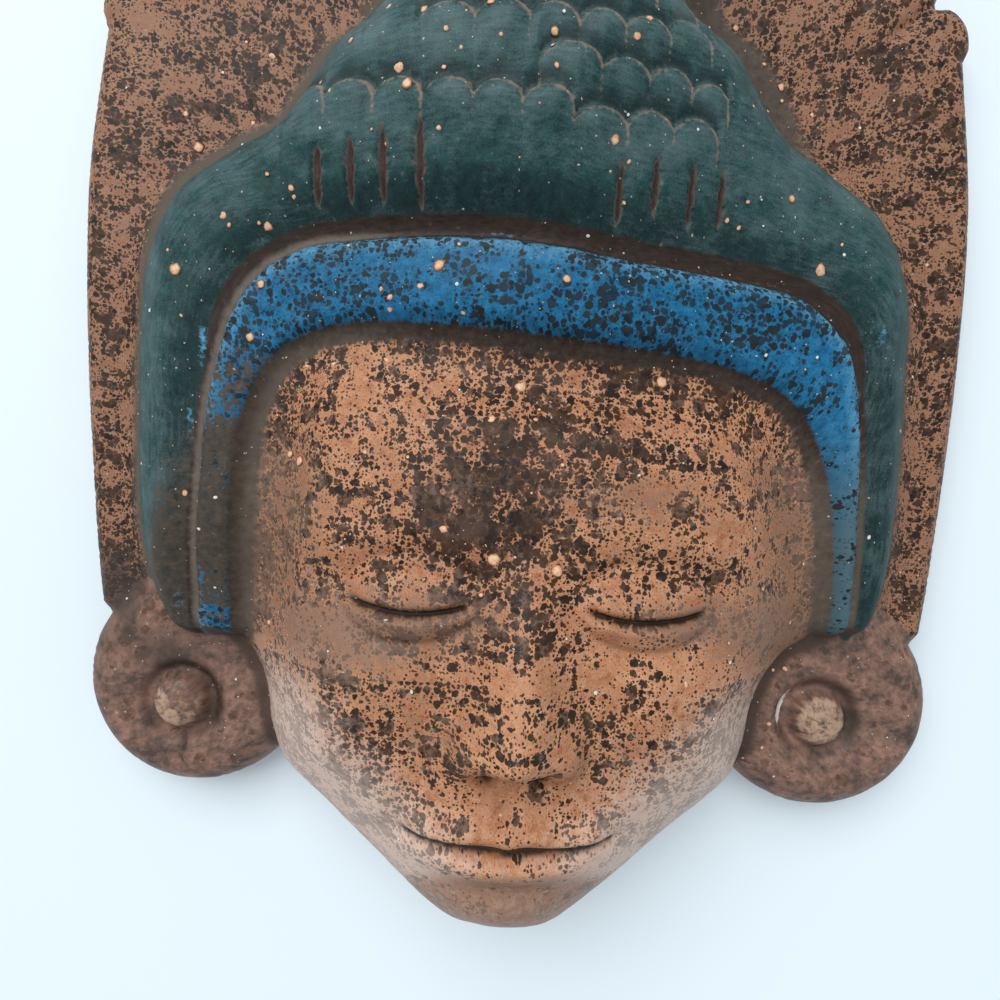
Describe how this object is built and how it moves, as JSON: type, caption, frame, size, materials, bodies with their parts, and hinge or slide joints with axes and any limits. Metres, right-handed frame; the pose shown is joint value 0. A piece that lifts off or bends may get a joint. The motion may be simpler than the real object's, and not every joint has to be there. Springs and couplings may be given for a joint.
{
  "type": "terracotta mask",
  "caption": "Pressed clay wall mask: calm face with closed eyes, blue headband, green feathered headdress rising to an owl's head, folded wings and round ear discs; hollow, open back.",
  "frame": {"origin": "middle of the back plane that the mask lies on, at the middle of its bounding box", "axes": "X across the mask, Y from the chin up to the owl's crown, Z out of the back plane towards the nose"},
  "size_m": [0.2138, 0.2749, 0.0606],
  "materials": {
    "painted_terracotta": "satin"
  },
  "bodies": {
    "root": {"mask_shell": "painted_terracotta"}
  },
  "joints": []
}
